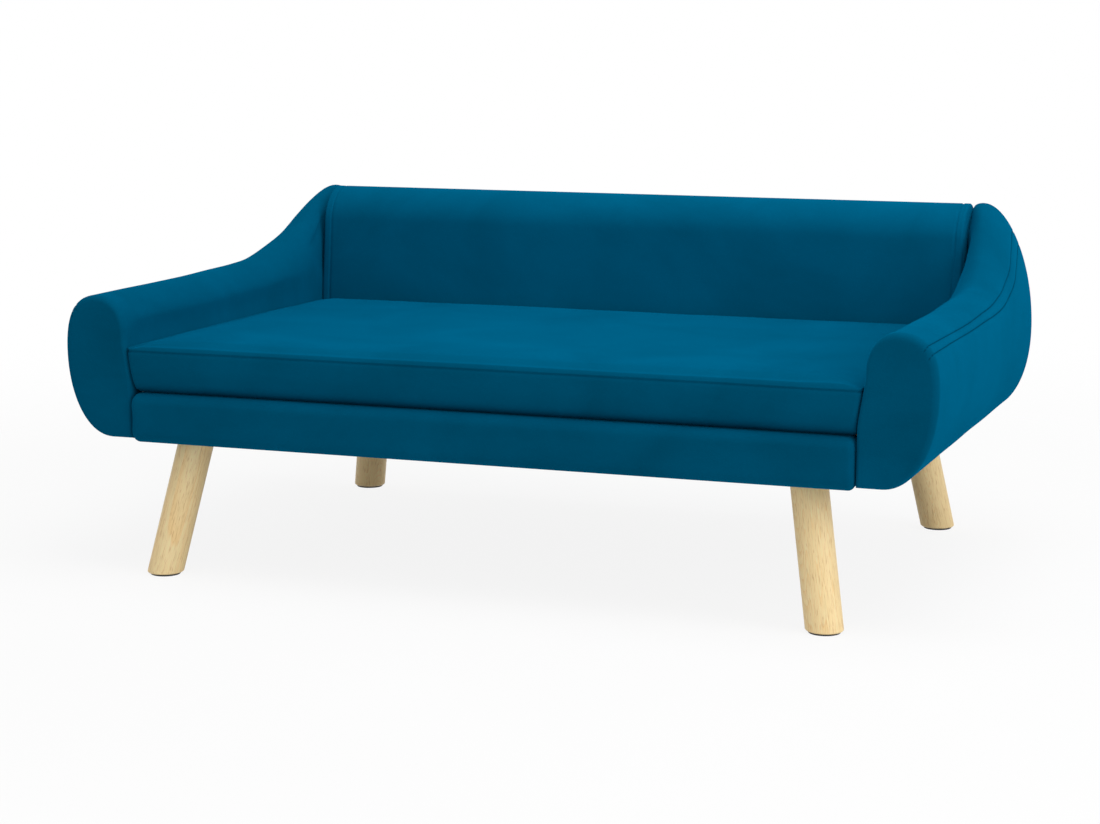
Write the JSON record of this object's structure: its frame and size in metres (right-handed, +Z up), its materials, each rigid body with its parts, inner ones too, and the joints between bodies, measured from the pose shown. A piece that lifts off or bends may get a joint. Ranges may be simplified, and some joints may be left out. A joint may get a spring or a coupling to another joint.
{
  "type": "dog sofa bed",
  "caption": "Small upholstered velvet dog sofa with a loose zipped seat cushion, low sweeping arms, a leaning backrest and splayed round oak legs.",
  "frame": {"origin": "on the floor, at the middle of the bounding box's length and depth", "axes": "+X along the sofa to the viewer's right, +Y to the backrest, +Z up"},
  "size_m": [1, 0.6078, 0.402],
  "materials": {
    "velvet": "short-pile velvet",
    "foam": "open-cell foam",
    "oak": "matt clear lacquer",
    "softwood": "planed, raw",
    "plywood": "raw",
    "zinc_steel": "zinc plated",
    "glide_plastic": "matt",
    "dust_fabric": "non-woven",
    "zip_tape": "woven",
    "zip_coil": "matt",
    "zip_metal": "satin"
  },
  "bodies": {
    "base": {"arm_batten_left": "softwood", "arm_batten_right": "softwood", "arm_bolts": "zinc_steel", "arm_cover_left": "velvet", "arm_cover_right": "velvet", "arm_foam_left": "foam", "arm_foam_right": "foam", "arm_insert_nuts": "zinc_steel", "arm_panel_left": "plywood", "arm_panel_right": "plywood", "arm_washers": "zinc_steel", "back_board": "plywood", "back_bolts": "zinc_steel", "back_cover": "velvet", "back_foam": "foam", "back_insert_nuts": "zinc_steel", "back_rear_lining": "velvet", "back_rib_centre": "softwood", "back_rib_left": "softwood", "back_rib_right": "softwood", "back_sill": "softwood", "back_top_rail": "softwood", "back_washers": "zinc_steel", "centre_rail": "softwood", "corner_block_front_left": "softwood", "corner_block_front_right": "softwood", "corner_block_rear_left": "softwood", "corner_block_rear_right": "softwood", "dust_cover": "dust_fabric", "front_rail": "softwood", "front_rail_cover": "velvet", "front_rail_foam": "foam", "leg_front_left": "oak", "leg_front_right": "oak", "leg_glide_front_left": "glide_plastic", "leg_glide_front_right": "glide_plastic", "leg_glide_rear_left": "glide_plastic", "leg_glide_rear_right": "glide_plastic", "leg_hanger_bolts": "zinc_steel", "leg_plate_front_left": "zinc_steel", "leg_plate_front_right": "zinc_steel", "leg_plate_rear_left": "zinc_steel", "leg_plate_rear_right": "zinc_steel", "leg_plate_screws": "zinc_steel", "leg_rear_left": "oak", "leg_rear_right": "oak", "rail_screws": "zinc_steel", "rear_rail": "softwood", "rear_rail_cover": "velvet", "seat_deck": "plywood", "side_rail_left": "softwood", "side_rail_right": "softwood"},
    "seat_cushion": {"cushion_foam": "foam", "cushion_cover": "velvet", "zip_tapes": "zip_tape", "zip_chain": "zip_coil"},
    "zip_slider": {"zip_slider": "zip_metal", "zip_pull": "zip_metal"}
  },
  "joints": [
    {"name": "cushion_lift", "type": "slide", "parent": "base", "child": "seat_cushion", "axis": [0, 0, 1], "range_m": [0, 0.25]},
    {"name": "zip_travel", "type": "slide", "parent": "seat_cushion", "child": "zip_slider", "axis": [1, 0, 0], "range_m": [0, 0.56]}
  ]
}
